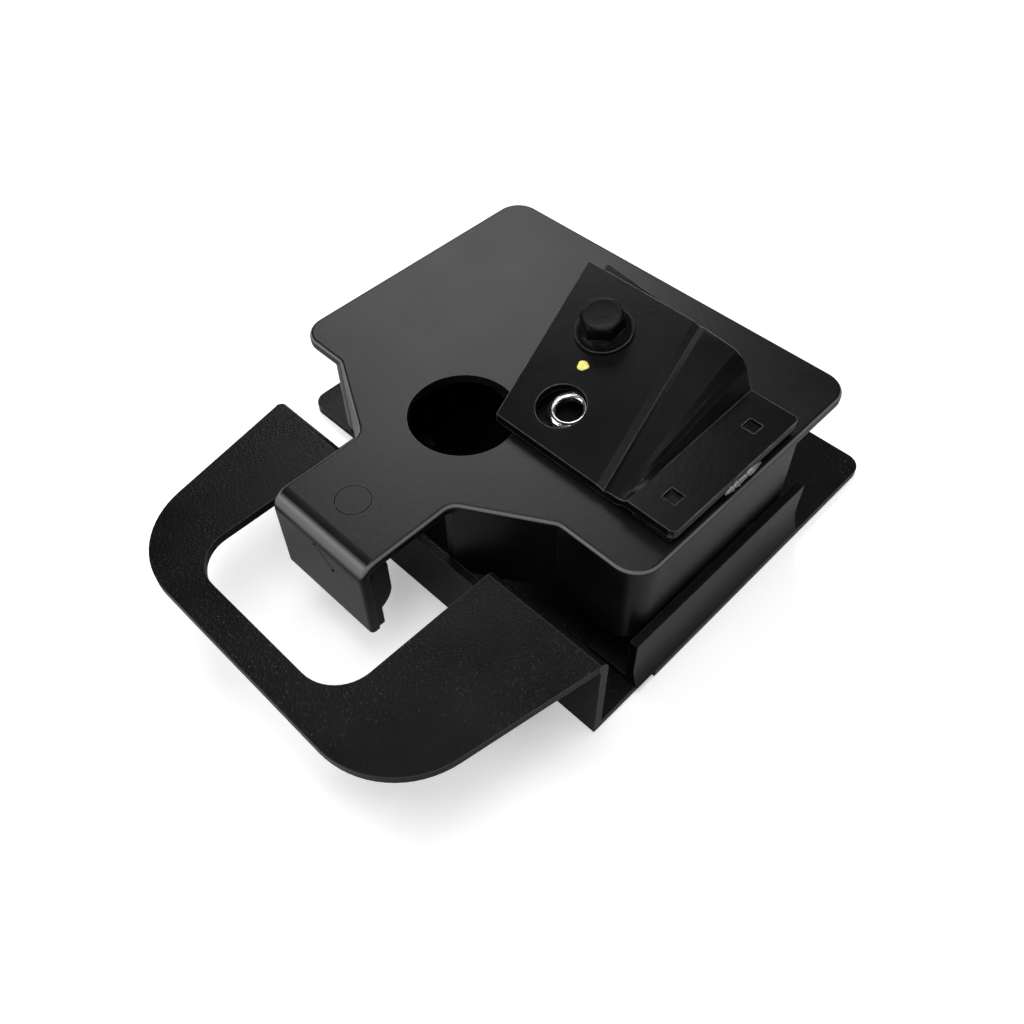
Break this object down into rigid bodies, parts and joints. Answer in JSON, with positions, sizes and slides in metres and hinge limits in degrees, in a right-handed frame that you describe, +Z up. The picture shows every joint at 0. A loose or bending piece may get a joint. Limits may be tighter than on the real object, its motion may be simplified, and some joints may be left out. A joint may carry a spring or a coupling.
{
  "type": "gravity gate latch",
  "caption": "Black steel gravity latch: a weighted hook cover hinged over a base plate with a flat pull loop, with a bent release arm on top.",
  "frame": {"origin": "middle of the base plate's underside, which is the face that is bolted down", "axes": "+Z up through the cover, +Y away from the pull loop, +X along the hinge axle to the side with the bent bracket"},
  "size_m": [0.172, 0.2168, 0.0775],
  "materials": {
    "coated_steel": "satin black powder coat",
    "plated_steel": "bright zinc plate",
    "bare_steel": "turned, oiled",
    "bush_bronze": "sintered bronze",
    "stop_rubber": "moulded, matt",
    "marker_paint": "yellow paint spot"
  },
  "bodies": {
    "root": {"base_and_pull_loop": "coated_steel", "mounting_nuts": "coated_steel", "right_side_rail": "coated_steel", "left_side_rail": "coated_steel", "rail_rivets": "coated_steel", "pivot_axle": "bare_steel", "thrust_washers": "bare_steel", "retaining_rings": "bare_steel", "stop_seats": "coated_steel", "rubber_stop_pads": "stop_rubber"},
    "hook": {"pivot_bushes": "bush_bronze", "right_hinge_ear": "coated_steel", "left_hinge_ear": "coated_steel", "hook_cover": "coated_steel", "hook_nose_block": "coated_steel", "gravity_weight": "coated_steel", "weight_rivet": "coated_steel", "bracket_spacer": "coated_steel", "z_bracket": "coated_steel", "bracket_tenons": "coated_steel", "bracket_weld_bead": "coated_steel", "arm_stiffener": "coated_steel", "clamp_washer": "coated_steel", "clamp_bolt": "coated_steel", "clamp_nut": "plated_steel", "release_bush": "plated_steel", "inspection_dot": "marker_paint"}
  },
  "joints": [
    {"name": "hook_pivot", "type": "hinge", "parent": "root", "child": "hook", "pos_m": [0.0115, 0.012, 0.013], "axis": [-1, 0, 0], "range_deg": [0, 25]}
  ]
}
